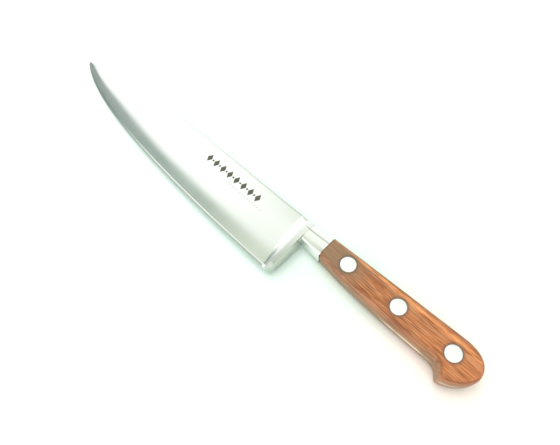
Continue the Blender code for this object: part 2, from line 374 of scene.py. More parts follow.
def make_satin_steel():
    material, tree, shader = new_finish("satin_ground_steel", STEEL_PALE, 0.26, 1.0)
    lines = noise(tree, placed(tree, (3200, 45, 45)), detail=4.0, roughness=0.6)
    pressure = noise(tree, placed(tree, (22, 60, 60)), detail=2.0)
    scratches = noise(tree, placed(tree, (60, 2600, 60), rotation=(0, 0, 0.22)), detail=2.0)
    scratched = spread(tree, scratches, 0.66, 0.72, 0.0, 1.0)
    mark = etched_band(tree)

    tone = blend(tree, pressure, STEEL_DULL, STEEL_PALE)
    place = object_axes(tree)
    # Painted shade under the spine at the heel.
    heel_painted_shade = product(
        tree, fade_in(tree, place["X"], *HEEL_SHADE_X), fade_in(tree, place["Y"], *HEEL_SHADE_Y)
    )
    tone = blend(tree, heel_painted_shade, tone, HEEL_PAINTED_SHADE)
    ground = maths(
        tree, "ADD", spread(tree, lines, 0.3, 0.7, 0.15, 0.21),
        spread(tree, pressure, 0.3, 0.7, 0.0, 0.03),
    )
    matt = maths(tree, "MAXIMUM", ground, product(tree, mark, 0.55))
    relief = bump(tree, lines, 0.0000012)
    relief = bump(tree, scratched, 0.0000008, normal=relief)
    relief = bump(tree, product(tree, mark, -1.0), 0.00002, normal=relief)
    drive(tree, shader, blend(tree, mark, tone, ETCH_DARK), matt, relief)
    return material


satin_steel = make_satin_steel()
tell_finish(satin_steel)

# %% [markdown]
# ## Honed edge
# A whetstone has cut the last millimetre above the edge. Its scratches run across the edge, so
# this strip is rougher than the belt-ground steel above it. It is also painted dark grey: painted
# shade for the dark line along the edge. It is a finish of its own, since the strip follows the
# edge's curve.

# %% Honed edge
# Painted shade: this dark grey stands in for the dark line along the edge.
HONED_PAINTED_DARK = (0.40, 0.45, 0.41)


def make_honed_shaded_steel():
    material, tree, shader = new_finish("whetstone_honed_painted_dark_steel", HONED_PAINTED_DARK, 0.3, 1.0)
    strokes = noise(tree, placed(tree, (2600, 400, 400)), detail=2.0)
    tree.links.new(spread(tree, strokes, 0.3, 0.7, 0.26, 0.38), shader.inputs["Roughness"])
    tree.links.new(bump(tree, strokes, 0.0000015), shader.inputs["Normal"])
    return material


honed_shaded_steel = make_honed_shaded_steel()
tell_finish(honed_shaded_steel)

# %% [markdown]
# ## Polished steel
# The cove, guard and neck are too curved for the grinding belt, so they are polished by hand on a
# soft wheel. They are brighter and smoother, with faint wheel marks along the knife. The guard's
# narrow flank and back are painted darker, the flank more so towards the heel: painted shade for
# the darker reflections there. The rim of the tang is sanded together with the wood, so it is
# rougher. It is coloured dark brown, with pale stretches along the middle and under the beak.

# %% Polished steel
POLISH_BRIGHT = (0.87, 0.88, 0.86)
# Painted shade: the guard's flank, darker towards the heel, and its back are coloured darker.
GUARD_FLANK_PAINTED_SHADE = (0.52, 0.55, 0.50)
GUARD_BACK_PAINTED_SHADE = (0.62, 0.63, 0.55)
# The tang's rim is coloured dark brown, with pale stretches along the middle and under the beak.
RIM_DARK_BROWN, RIM_PALE = (0.27, 0.20, 0.13), (0.80, 0.74, 0.62)
FLANK_SHADE_LENGTH, FLANK_SHADE_Y, FLANK_SHADE_AT_TOP = 3.0, (-0.014, 0.010), 0.25
RIM_PALE_X = ((0.108, 0.118), (0.136, 0.144)), ((0.150, 0.153), (0.158, 0.162))


def make_polished_steel():
    material, tree, shader = new_finish("polished_guard_steel", POLISH_BRIGHT, 0.16, 1.0)
    wheel_marks = noise(tree, placed(tree, (120, 1500, 1500)), detail=3.0)
    clouds = noise(tree, placed(tree, (90, 90, 90)), detail=2.0)
    place = object_axes(tree)
    along, back = place["X"], GUARD_BACK_X * MM
    # Painted shade on the guard's flank, darker towards the heel.
    flank_shade = product(
        tree, maths(tree, "GREATER_THAN", along, back - FLANK_SHADE_LENGTH * MM),
        spread(tree, place["Y"], *FLANK_SHADE_Y, 1.0, FLANK_SHADE_AT_TOP),
        fade_out(tree, along, back, back + 0.0006),
    )
    colour = blend(tree, flank_shade, POLISH_BRIGHT, GUARD_FLANK_PAINTED_SHADE)
    # Painted shade on the guard's back.
    back_shade = product(
        tree, fade_in(tree, along, back - 0.0002, back - 0.0001),
        fade_out(tree, along, back + 0.00005, back + 0.0001),
        spread(tree, clouds, 0.3, 0.7, 0.8, 1.0),
    )
    colour = blend(tree, back_shade, colour, GUARD_BACK_PAINTED_SHADE)
    pale_stretch = maths(tree, "MAXIMUM", *(strip(tree, along, *ends) for ends in RIM_PALE_X))
    pale_stretch = product(tree, pale_stretch, spread(tree, clouds, 0.35, 0.55, 0.4, 1.0))
    rim = blend(tree, pale_stretch, RIM_DARK_BROWN, RIM_PALE)
    on_tang = maths(tree, "GREATER_THAN", along, SCALE_FRONT_X * MM)
    sheen = maths(
        tree, "ADD", spread(tree, wheel_marks, 0.3, 0.7, 0.12, 0.19),
        spread(tree, clouds, 0.35, 0.7, 0.0, 0.05),
    )
    sheen = maths(tree, "ADD", sheen, product(tree, on_tang, 0.2))
    relief = bump(tree, wheel_marks, 0.000002)
    drive(tree, shader, blend(tree, on_tang, colour, rim), sheen, relief)
    return material


polished_steel = make_polished_steel()
tell_finish(polished_steel)

# %% [markdown]
# ## Oiled hardwood
# The scales are sawn along the grain of an orange-brown hardwood. Seen close, the colour has
# four sources: broad growth bands of orange and red-brown, fine fibres, a few dark streaks, and
# short open pores. All of them run along the handle, so each is a noise stretched along X, and
# a slow noise bends them together, as a real board's grain wanders. The wood is greyer at the
# front, where fingers and water reach it most, and grows more orange towards the rear.

# %% Wood grain
def grain_vector(tree, along, across, seed):
    """Coordinates for a pattern with the given features per metre along and across the grain."""
    wander = noise(tree, placed(tree, (14, 30, 30)), detail=1.0)
    sideways = spread(tree, wander, 0.3, 0.7, -0.0009, 0.0009)
    bent = node(tree, "ShaderNodeCombineXYZ", {"Y": sideways, "Z": sideways}).outputs[0]
    place = node(tree, "ShaderNodeTexCoord").outputs["Object"]
    moved = node(tree, "ShaderNodeVectorMath", {0: place, 1: bent}, operation="ADD").outputs[0]
    inputs = {"Vector": moved, "Scale": (along, across, across), "Location": (seed, seed, seed)}
    return node(tree, "ShaderNodeMapping", inputs).outputs["Vector"]


def rivet_distance(tree):
    """The distance in metres from the nearest rivet's axis."""
    nearest = 1.0
    for name in RIVETS:
        x, y = (value * MM for value in rivet_centre(name)[0])
        flat = placed(tree, (1, 1, 0), location=(-x, -y, 0))
        length = node(tree, "ShaderNodeVectorMath", {0: flat}, operation="LENGTH")
        nearest = maths(tree, "MINIMUM", nearest, length.outputs["Value"])
    return nearest


print("wood grain helpers ready")

# %% [markdown]
# Masks then tint the handle by place, and several of them paint light and shade. The belly side is
# painted paler and pinker, as painted light reflected from the table, and tan-grey next to the
# tang, as painted shade and bounced light. It is parted from the cheek by one dark growth ring.
# The spine side is painted darker, as painted shade, and a bright orange line along the spine is a
# painted highlight. The beak's hollow is painted grey, as painted shade. Round the front rivet and
# the neck, and in a thin ring round every rivet, water and metal have greyed the wood. Each mask
# fades over a stretch of X or Y, or of the distance from the knife's middle plane.

# %% Wood
WOOD_DARK, WOOD_RED = (0.270, 0.088, 0.034), (0.340, 0.115, 0.045)
WOOD_ORANGE, WOOD_TAN = (0.440, 0.165, 0.058), (0.340, 0.165, 0.085)
FIBRE_DARK, FIBRE_PALE = (0.180, 0.060, 0.024), (0.580, 0.270, 0.130)
# Painted light and shade: a bright orange painted highlight along the spine, and a darker painted
# shade on the spine side.
SPINE_PAINTED_HIGHLIGHT, SPINE_PAINTED_SHADE = (0.850, 0.340, 0.125), (0.160, 0.095, 0.048)
# Painted light: the belly side paler and pinker for light reflected from the table, and tan-grey
# near the tang for shade and bounced light.
BELLY_PAINTED_LIGHT, BELLY_SHADE_AND_BOUNCE = (0.430, 0.190, 0.115), (0.400, 0.270, 0.150)
REAR_ORANGE = (0.640, 0.215, 0.075)
# Grey for the water-stained front, and also painted shade in the beak's hollow.
GREY_STAIN_AND_SHADE = (0.215, 0.155, 0.095)
RIVET_STAIN = (0.110, 0.088, 0.070)
END_GRAIN = (0.070, 0.040, 0.026)
CHEEK_FROM_MIDDLE, SPINE_SIDE_FROM_MIDDLE = (0.0076, 0.0082), (0.0082, 0.0074)
TANG_SIDE_FROM_MIDDLE = (0.0052, 0.0030)
RING_FROM_MIDDLE, RING_Y = ((0.0077, 0.0080), (0.00843, 0.00849)), (0.0070, 0.0095)
SPINE_HIGHLIGHT_Y, SPINE_SIDE_Y = ((0.0152, 0.0159), (0.0170, 0.0176)), (0.0120, 0.0150)
BELLY_Y, BELLY_LIGHT_X, REAR_X = (0.0075, 0.0100), (0.11, 0.14), (0.115, 0.148)
HOLLOW_X, HOLLOW_Y = ((0.128, 0.139), (0.1490, 0.1510)), (0.004, 0.007)
WET_X, END_GRAIN_DEPTH, RIVET_RING = (0.078, 0.096), 0.0009, (0.0049, 0.0064)


def make_wood():
    material, tree, shader = new_finish("oiled_orange_hardwood", WOOD_RED, 0.45)
    bands = noise(tree, grain_vector(tree, 9, 380, 3.1), detail=3.0, roughness=0.6)
    fibres = noise(tree, grain_vector(tree, 75, 1700, 7.7), detail=2.0, roughness=0.7)
    streaks = noise(tree, grain_vector(tree, 12, 620, 1.3), detail=2.0)
    pores = noise(tree, grain_vector(tree, 260, 3300, 5.9), detail=1.0)
    clouds = noise(tree, placed(tree, (70, 160, 160)), detail=2.0)
    place = object_axes(tree)
    from_middle = maths(tree, "ABSOLUTE", maths(tree, "SUBTRACT", place["Z"], MID_Z * MM))
    on_cheek = fade_in(tree, from_middle, *CHEEK_FROM_MIDDLE)
    on_side = maths(tree, "SUBTRACT", 1.0, on_cheek)

    colour = ramp(
        tree, bands, (0.32, WOOD_DARK), (0.45, WOOD_RED), (0.56, WOOD_ORANGE), (0.68, WOOD_TAN)
    )
    colour = blend(tree, spread(tree, place["X"], *REAR_X, 0.0, 0.55), colour, REAR_ORANGE)
    # Painted highlight: a bright orange line along the spine's rounding.
    spine_highlight = product(
        tree, strip(tree, place["Y"], *SPINE_HIGHLIGHT_Y), spread(tree, clouds, 0.3, 0.6, 0.55, 1.0)
    )
    colour = blend(tree, spine_highlight, colour, SPINE_PAINTED_HIGHLIGHT)
    belly = product(tree, fade_out(tree, place["Y"], *BELLY_Y), on_side)
    # Painted light reflected from the table on the belly side.
    belly_painted_light = product(tree, belly, spread(tree, place["X"], *BELLY_LIGHT_X, 0.75, 0.35))
    colour = blend(tree, belly_painted_light, colour, BELLY_PAINTED_LIGHT)
    # Painted shade and bounced light: the belly side next to the tang is tan-grey.
    tang_side_shade_and_bounce = product(tree, belly, spread(tree, from_middle, *TANG_SIDE_FROM_MIDDLE, 0.0, 0.8))
    colour = blend(tree, tang_side_shade_and_bounce, colour, BELLY_SHADE_AND_BOUNCE)
    # Painted shade: the spine side is darker.
    spine_painted_shade = product(
        tree, fade_in(tree, place["Y"], *SPINE_SIDE_Y),
        spread(tree, from_middle, *SPINE_SIDE_FROM_MIDDLE, 0.0, 0.9),
    )
    colour = blend(tree, spine_painted_shade, colour, SPINE_PAINTED_SHADE)
    # Painted shade in the beak's hollow.
    beak_hollow_shade = product(
        tree, strip(tree, place["X"], *HOLLOW_X), on_side,
        spread(tree, place["Y"], *HOLLOW_Y, 0.6, 0.0),
    )
    colour = blend(tree, beak_hollow_shade, colour, GREY_STAIN_AND_SHADE)
    ring = product(
        tree, strip(tree, from_middle, *RING_FROM_MIDDLE),
        spread(tree, place["Y"], *RING_Y, 0.95, 0.0),
    )
    colour = blend(tree, ring, colour, WOOD_DARK)

    colour = blend(tree, spread(tree, fibres, 0.36, 0.50, 0.80, 0.0), colour, FIBRE_DARK)
    colour = blend(tree, spread(tree, fibres, 0.50, 0.64, 0.0, 0.80), colour, FIBRE_PALE)
    colour = blend(tree, spread(tree, streaks, 0.60, 0.70, 0.0, 0.6), colour, WOOD_DARK)
    colour = blend(tree, spread(tree, pores, 0.64, 0.70, 0.0, 0.5), colour, FIBRE_DARK)

    wet_edge = maths(tree, "ADD", place["X"], spread(tree, clouds, 0.3, 0.7, -0.004, 0.004))
    greyed = product(tree, spread(tree, wet_edge, *WET_X, 0.75, 0.0), on_cheek)
    colour = blend(tree, greyed, colour, GREY_STAIN_AND_SHADE)
    stain = spread(tree, rivet_distance(tree), *RIVET_RING, 0.65, 0.0)
    colour = blend(tree, product(tree, stain, on_cheek), colour, RIVET_STAIN)
    end = SCALE_FRONT_X * MM
    end_grain = spread(tree, place["X"], end, end + END_GRAIN_DEPTH, 0.9, 0.0)
    colour = blend(tree, end_grain, colour, END_GRAIN)

    relief = bump(tree, fibres, 0.00003, 0.6)
    relief = bump(tree, spread(tree, pores, 0.62, 0.70, 0.0, -1.0), 0.00005, 0.7, relief)
    drive(tree, shader, colour, spread(tree, fibres, 0.3, 0.7, 0.42, 0.58), relief)
    shader.inputs["Specular IOR Level"].default_value = 0.3
    return material


wood = make_wood()
tell_finish(wood)

# %% [markdown]
# ## Rivet metal
# The rivet heads are a white metal, ground flush with the wood and buffed. The buffing leaves
# fine lines in every direction.

# %% Rivet finish
def make_rivet_metal():
    material, tree, shader = new_finish("buffed_rivet_metal", (0.99, 0.97, 1.0), 0.2, 1.0)
    first = noise(tree, placed(tree, (2600, 120, 120), rotation=(0, 0, 0.6)), detail=3.0)
    second = noise(tree, placed(tree, (120, 2600, 120), rotation=(0, 0, 0.35)), detail=3.0)
    lines = maths(tree, "MAXIMUM", first, second)
    tree.links.new(spread(tree, lines, 0.4, 0.7, 0.16, 0.27), shader.inputs["Roughness"])
    tree.links.new(bump(tree, lines, 0.000002), shader.inputs["Normal"])
    return material


rivet_metal = make_rivet_metal()
tell_finish(rivet_metal)

# %% [markdown]
# ## Helpers for meshes
# A long, tapering shape such as a blade is a loft: closed rings of the same number of points,
# joined one to the next by `bridge_loops`, which `loft` does here. It could also be a grid bent
# into shape, or a box with many cuts, but rings keep every section under control, and the
# sections are what a smith and a grinder think in. `finish_piece` turns a bmesh in millimetres
# into an object in metres.

# %% Mesh helpers
def finish_piece(name, bm, *materials):
    bmesh.ops.scale(bm, vec=(MM, MM, MM), verts=bm.verts)
    bmesh.ops.recalc_face_normals(bm, faces=bm.faces)
    mesh = bpy.data.meshes.new(name)
    bm.to_mesh(mesh)
    bm.free()
    for material in materials:
        mesh.materials.append(material)
    piece = bpy.data.objects.new(name, mesh)
    bpy.context.scene.collection.objects.link(piece)
    return piece


def shade_round(piece, angle=28):
    piece.data.shade_smooth()
    piece.data.set_sharp_from_angle(angle=math.radians(angle))


def ring_of(bm, points):
    """A closed loop of edges through the points."""
    verts = [bm.verts.new(point) for point in points]
    return [bm.edges.new((verts[i - 1], verts[i])) for i in range(len(verts))]


def loft(bm, rings, capped=True):
    """Joins each ring of edges to the next and closes the ends; returns the joining faces."""
    spans = [
        bmesh.ops.bridge_loops(bm, edges=ring + next_ring)["faces"]
        for ring, next_ring in zip(rings, rings[1:])
    ]
    for ring in (rings[0], rings[-1]) if capped else (rings[0],):
        bmesh.ops.contextual_create(bm, geom=ring)
    return spans


def bezier(points, samples):
    flat = [Vector((*point, 0.0)) for point in points]
    return [(p.x, p.y) for p in interpolate_bezier(*flat, samples)]


def value_along(curve, x):
    """The second number of a curve, given as pairs in order of the first, at one x."""
    xs = [point[0] for point in curve]
    if x <= xs[0]:
        return curve[0][1]
    if x >= xs[-1]:
        return curve[-1][1]
    after = bisect.bisect_right(xs, x)
    (x0, y0), (x1, y1) = curve[after - 1], curve[after]
    return y0 + (y1 - y0) * (x - x0) / (x1 - x0)


def mix(a, b, share):
    return a + (b - a) * share


def cut_or_join(piece, others, operation):
    """Joins or cuts a piece with others, exactly, and leaves one plain mesh."""
    for other in others:
        modifier = piece.modifiers.new(operation, "BOOLEAN")
        modifier.operation = operation
        modifier.solver = "EXACT"
        modifier.object = other
    whole = bpy.data.meshes.new_from_object(
        piece.evaluated_get(bpy.context.evaluated_depsgraph_get())
    )
    piece.modifiers.clear()
    piece.data = whole
    for other in others:
        bpy.data.objects.remove(other, do_unlink=True)


def turned(profile, centre, steps=96):
    """Spins (radius, height) pairs, whose ends lie on the axis, into a closed round mesh."""
    bm = bmesh.new()
    verts = [bm.verts.new((radius, 0.0, height)) for radius, height in profile]
    edges = [bm.edges.new(pair) for pair in zip(verts, verts[1:])]
    bmesh.ops.spin(
        bm, geom=verts + edges, cent=(0, 0, 0), axis=(0, 0, 1), angle=math.tau, steps=steps,
        use_merge=True,
    )
    bmesh.ops.remove_doubles(bm, verts=bm.verts, dist=0.0001)
    bmesh.ops.translate(bm, vec=(*centre, 0.0), verts=bm.verts)
    return bm


print("mesh helpers ready")

# %% [markdown]
# ## The blade's outline
# From the side a chef's blade is two curves. The spine runs almost straight from the guard and
# drops over the last third. The edge is nearly flat at the heel and sweeps up to the point, so
# that the knife can rock on a board. Both are Bezier curves.

# %% Outline of the blade
GUARD_LENGTH = 2.9
COVE_END_X = GUARD_BACK_X - GUARD_LENGTH
BLADE_END_X = 33.0
POINT_Y, POINT_HALF_HEIGHT = 3.0, 0.1
POINT_BOTTOM, POINT_TOP = POINT_Y - POINT_HALF_HEIGHT, POINT_Y + POINT_HALF_HEIGHT
EDGE_CURVE = bezier(((TIP_X, POINT_BOTTOM), (-140, -15.5), (-64, -23.0), (34, HEEL_Y)), 160)
SPINE_CURVE = sorted(set(
    bezier(((TIP_X, POINT_TOP), (-146, 10.0), (-121, 13.7), (-90, 15.2)), 80)
    + bezier(((-90, 15.2), (-45, 17.4), (0, 16.6), (48, 17.7)), 80)
))
widest = max(value_along(SPINE_CURVE, x) - value_along(EDGE_CURVE, x) for x in range(-160, 33))
print(f"blade {COVE_END_X - TIP_X:.0f} mm long, {widest:.1f} mm wide at most")

# %% [markdown]
# ## The blade's section
# A section from the edge up has four parts. The cutting bevel is 1.7 mm high and steepest, and
# its lowest millimetre is honed steeper still. Above it comes the grind that thins the blade: a
# nearly flat facet, up to 5 mm high, that leans in by about four degrees and is eased into the
# face above. It mirrors a darker part of the room. Then the face rises gently to the spine,
# whose corners are eased so that they don't cut the hand. The spine itself thins to half a
# millimetre at the point.

# %% Section of the blade
EDGE_HALF = 0.02
BEVEL_HEIGHT, BEVEL_HALF, BEVEL_HALF_AT_TIP, BEVEL_SHARE_AT_TIP = 1.7, 0.46, 0.15, 0.3
GRIND_SLOPE = 0.075
GRIND_HEIGHTS = ((TIP_X, 0.6), (-155, 2.4), (-121, 5.0), (-101, 5.0), (-61, 3.6), (30, 2.6))
GRIND_EASES = ((TIP_X, 0.8), (-141, 2.6), (-101, 5.4), (-41, 7.5), (30, 10.0))
HONE_SHARE, HONE_HALF_SHARE = 0.64, 0.72
SPINE_HALVES = ((TIP_X, 0.26), (TIP_X + 8, 0.50), (TIP_X + 26, 0.72), (COVE_END_X, 1.9))
SPINE_ROUND, SPINE_ROUND_SHARE_AT_TIP = 0.6, 0.05


def bevel_height(height):
    return min(BEVEL_HEIGHT, height * BEVEL_SHARE_AT_TIP)


def spine_round(height):
    return min(SPINE_ROUND, height * SPINE_ROUND_SHARE_AT_TIP)


def grind_swell(x, above, slope):
    """How far the ground face stands out, a distance above the cutting bevel."""
    flat, ease = value_along(GRIND_HEIGHTS, x), value_along(GRIND_EASES, x)
    into_ease = min(max(above - flat, 0.0) / ease, 1.0)
    return slope * (min(above, flat) + ease * (into_ease - into_ease**2 / 2))


def blade_half(x, over_edge, height):
    """Half of the blade's thickness, a distance over_edge above the edge."""
    along = (x - TIP_X) / (COVE_END_X - TIP_X)
    spine_half = value_along(SPINE_HALVES, x)
    bevel_half = mix(BEVEL_HALF_AT_TIP, BEVEL_HALF, min(2.0 * along, 1.0))
    bevel = bevel_height(height)
    if over_edge <= bevel:
        hone = (bevel * HONE_SHARE, bevel_half * HONE_HALF_SHARE)
        return value_along(((0.0, EDGE_HALF), hone, (bevel, bevel_half)), over_edge)
    full = grind_swell(x, height, 1.0)
    slope = min(GRIND_SLOPE, (spine_half - bevel_half) / full)
    gentle = (spine_half - bevel_half - slope * full) / (height - bevel)
    above = over_edge - bevel
    return bevel_half + grind_swell(x, above, slope) + gentle * above


for x in (-140, -60, 20):
    height = value_along(SPINE_CURVE, x) - value_along(EDGE_CURVE, x)
    halves = [blade_half(x, height * share, height) for share in (0.1, 0.5, 1.0)]
    print(f"x {x}: {height:.1f} mm high, halves " + ", ".join(f"{half:.2f}" for half in halves))

# %% [markdown]
# ## The guard and the cove
# A forged knife thickens at the heel into a finger guard, with a hollow fillet, the cove, on
# each side. Seen from the front the guard has a slope at the top, straight flanks and a slightly
# pulled-in foot, and its lower back corner is rounded. The cove is a quarter ellipse that starts
# flush with the blade's face and ends square to the flank. It is long at the top and short at
# the heel.

# %% Section of the guard
GUARD_TOP, GUARD_SHOULDER = (17.6, 2.7), (12.6, 5.9)
GUARD_HEEL, GUARD_FOOT = (-17.5, 5.1), (HEEL_Y, 2.6)
COVE_LENGTH, COVE_LENGTH_AT_HEEL, COVE_NARROWS_BELOW_Y = 7.6, 2.8, 2.0
HEEL_ROUND = 3.2
FACE_LEVELS, FACE_CROWDING, TOP_LEVELS = 20, 1.4, 3
CRISP_BEVEL, CRISP_HEEL, CRISP_SHOULDER = 0.04, 0.12, 0.006
LEAST_HEEL_OVER_BEVEL = 1.3


def guard_half(y):
    return value_along((GUARD_FOOT, GUARD_HEEL, GUARD_SHOULDER, GUARD_TOP), y)


def cove_length(y):
    share = (COVE_NARROWS_BELOW_Y - y) / (COVE_NARROWS_BELOW_Y - HEEL_Y)
    return mix(COVE_LENGTH, COVE_LENGTH_AT_HEEL, min(max(share, 0.0), 1.0))


def crisp(corner, margin):
    """Levels close on both sides of a corner, which keep it crisp under smooth shading."""
    return [corner - margin, corner, corner + margin]


def quarter_turn(steps):
    return [math.pi / 2 * step / steps for step in range(steps + 1)]


def level_heights(height):
    """How far above the edge the points of one side of a ring lie."""
    bevel = bevel_height(height)
    full = GUARD_TOP[0] - HEEL_Y
    heel = max((GUARD_HEEL[0] - HEEL_Y) / full * height, bevel * LEAST_HEEL_OVER_BEVEL)
    shoulder = (GUARD_SHOULDER[0] - HEEL_Y) / full * height
    ease = spine_round(height)
    top = height - ease
    levels = [0.0]
    for corner in (bevel * HONE_SHARE, bevel):
        levels += crisp(corner, bevel * CRISP_BEVEL)
    levels += crisp(heel, bevel * CRISP_HEEL)
    for step in range(1, FACE_LEVELS):
        levels.append(mix(heel, shoulder, (step / FACE_LEVELS) ** FACE_CROWDING))
    levels += crisp(shoulder, height * CRISP_SHOULDER)
    levels += [mix(shoulder, top, step / TOP_LEVELS) for step in range(1, TOP_LEVELS + 1)]
    levels += [top + ease * math.sin(turn) for turn in quarter_turn(4)[1:]]
    return levels


def forging_ring(x, top, bottom, rise, advance, shrink=0.0):
    """One ring's points. Rise runs from 0 on the blade to 1 on the guard, advance is the share
    of the cove's length still ahead of the ring, and shrink draws the guard's sides in."""
    height = top - bottom
    ease = spine_round(height)
    side = []
    for level in level_heights(height):
        y = bottom + level
        half = mix(blade_half(x, level, height), guard_half(y) - shrink, rise)
        into_ease = max(level - (height - ease), 0.0) / ease
        half -= min(ease, half / 2) * (1.0 - math.sqrt(max(1.0 - into_ease**2, 0.0)))
        side.append((x - advance * cove_length(y), y, half))
    left = [(px, y, MID_Z + half) for px, y, half in side]
    right = [(px, y, MID_Z - half) for px, y, half in reversed(side)]
    return left + right


print(len(level_heights(widest)) * 2, "points in each ring of the forging")

# %% [markdown]
# ## Forging the blade and guard
# The real piece is forged from one bar, and this mesh follows the same order. The blade, the
# cove and the guard are one loft, and its first ring is shrunk towards the point. A hand
# polisher breaks every corner a little, so the guard's two rims are turned through small quarter
# circles instead of a single sharp ring.

# %% Blade and guard
BLADE_STATIONS, COVE_STATIONS, HEEL_STATIONS, EASE_STATIONS = 90, 16, 10, 4
TIP_CROWDING = 1.4
TIP_LENGTH, TIP_SHRINK = 0.3, 0.3
RIM_EASE = 0.16
NECK_FOOT_Y = 5.0


def blade_rings():
    first = TIP_X + TIP_LENGTH
    rings = []
    for step in range(BLADE_STATIONS):
        x = mix(first, BLADE_END_X, (step / (BLADE_STATIONS - 1)) ** TIP_CROWDING)
        top, bottom = value_along(SPINE_CURVE, x), value_along(EDGE_CURVE, x)
        rings.append(forging_ring(x, top, bottom, 0.0, 0.0))
    tip = [
        (TIP_X, mix(POINT_Y, y, TIP_SHRINK), mix(MID_Z, z, TIP_SHRINK)) for _, y, z in rings[0]
    ]
    return [tip, *rings]


def cove_rings():
    """The hollow of the cove, then the eased rim where it meets the guard's flank."""
    rings = []
    for angle in quarter_turn(COVE_STATIONS):
        rise = 1.0 - math.cos(angle)
        top = mix(value_along(SPINE_CURVE, COVE_END_X), GUARD_TOP[0], rise)
        ahead = 1.0 - math.sin(angle)
        rings.append(forging_ring(COVE_END_X, top, HEEL_Y, rise, ahead, RIM_EASE))
    for angle in quarter_turn(EASE_STATIONS)[1:]:
        x = COVE_END_X + RIM_EASE * (1.0 - math.cos(angle))
        shrink = RIM_EASE * (1.0 - math.sin(angle))
        rings.append(forging_ring(x, GUARD_TOP[0], heel_bottom(x), 1.0, 0.0, shrink))
    return rings


def heel_bottom(x):
    """The height of the guard's foot, which turns up towards the back."""
    into_round = max(x - (GUARD_BACK_X - HEEL_ROUND), 0.0) / HEEL_ROUND
    return HEEL_Y + HEEL_ROUND * (1.0 - math.sqrt(max(1.0 - into_round**2, 0.0)))


def flank_rings():
    """The guard's flank, and its back rim, which is eased below the neck only."""
    start = math.asin(1.0 - (GUARD_LENGTH - RIM_EASE) / HEEL_ROUND)
    end = math.asin(1.0 - RIM_EASE / HEEL_ROUND)
    rings = []
    for step in range(1, HEEL_STATIONS + 1):
        x = GUARD_BACK_X - HEEL_ROUND * (1.0 - math.sin(mix(start, end, step / HEEL_STATIONS)))
        rings.append(forging_ring(x, GUARD_TOP[0], heel_bottom(x), 1.0, 0.0))
    for angle in quarter_turn(EASE_STATIONS)[1:]:
        x = GUARD_BACK_X - RIM_EASE * (1.0 - math.sin(angle))
        shrink = RIM_EASE * (1.0 - math.cos(angle))
        points = forging_ring(x, GUARD_TOP[0], heel_bottom(x), 1.0, 0.0)
        rings.append([
            (px, y, z - math.copysign(shrink, z - MID_Z) if y < NECK_FOOT_Y else z)
            for px, y, z in points
        ])
    return rings


SATIN, POLISHED, HONED = 0, 1, 2


def blade_finish(face):
    """Honed and painted dark in the strip above the edge, and satin elsewhere."""
    centre = face.calc_center_median()
    edge = value_along(EDGE_CURVE, centre.x)
    height = value_along(SPINE_CURVE, centre.x) - edge
    return HONED if centre.y - edge < bevel_height(height) * HONE_SHARE else SATIN


def loft_blade():
    """The loft, still open at the back, and its last ring."""
    bm = bmesh.new()
    blade = blade_rings()
    rings = [ring_of(bm, points) for points in (*blade, *cove_rings(), *flank_rings())]
    for index, span in enumerate(loft(bm, rings, capped=False)):
        for face in span:
            face.material_index = blade_finish(face) if index < len(blade) else POLISHED
    return bm, rings[-1]


forging_bm, back_rim = loft_blade()
print(len(forging_bm.faces), "faces in the blade and guard")

# %% [markdown]
# ## The neck
# Between guard and wood the steel is a faceted neck: a sloping facet above, an upright flank
# and a steep facet below that draws in to the tang. Its sides start flush with the guard's. So
# the guard's back face is split where the neck's underside starts, the upper part is extruded
# to the wood, and each of its points is moved to its place on the rear section. A small bevel
# then breaks the neck's edges and fills the corner behind the guard. Its shallow corners are
# shaded smooth, which leaves soft lines between the facets.

# %% Neck
NECK_FRONT = ((NECK_FOOT_Y, 4.6), (7.7, 5.9), (12.6, 5.9), (17.6, 2.7))
NECK_REAR = ((3.4, 2.8), (9.2, 6.0), (13.2, 6.0), (17.8, 2.8))
NECK_GAP = 0.05
NECK_EASE = 0.28
CORNER_ANGLE, FACET_ANGLE = math.radians(25), math.radians(15)
CORNER_BEHIND_GUARD = 1.0


def split_back_face(bm, rim):
    """Closes the guard's back and cuts the neck's section out of it; returns that face."""
    back = bmesh.ops.contextual_create(bm, geom=rim)["faces"][0]
    back.material_index = POLISHED
    corners = []
    for side in (1, -1):
        flank = [vert for vert in back.verts if (vert.co.z - MID_Z) * side > 0]
        corner = min(flank, key=lambda vert: abs(vert.co.y - NECK_FRONT[1][0]))
        corner.co.y = NECK_FRONT[1][0]
        corners.append(corner)
    foot_y, foot_half = NECK_FRONT[0]
    foot = [(GUARD_BACK_X, foot_y, MID_Z + side * foot_half) for side in (1, -1)]
    other, _ = bmesh.utils.face_split(back, corners[0], corners[1], coords=foot)
    return max((back, other), key=lambda face: face.calc_center_median().y)


def draw_out_neck(bm, section):
    heights = [(front[0], rear[0]) for front, rear in zip(NECK_FRONT, NECK_REAR)]
    grown = bmesh.ops.extrude_face_region(bm, geom=[section])["geom"]
    if section.is_valid:
        bmesh.ops.delete(bm, geom=[section], context="FACES_ONLY")
    for vert in grown:
        if isinstance(vert, bmesh.types.BMVert):
            old_y = vert.co.y
            vert.co.x = SCALE_FRONT_X - NECK_GAP
            vert.co.y = value_along(heights, old_y)
            wider = value_along(NECK_REAR, vert.co.y) - value_along(NECK_FRONT, old_y)
            vert.co.z += math.copysign(wider, vert.co.z - MID_Z)


def is_corner(edge):
    """Whether an edge is sharp enough to be eased; along the neck even shallow corners are."""
    along_neck = max(vert.co.x for vert in edge.verts) > GUARD_BACK_X + CORNER_BEHIND_GUARD
    return edge.calc_face_angle(0.0) > (FACET_ANGLE if along_neck else CORNER_ANGLE)


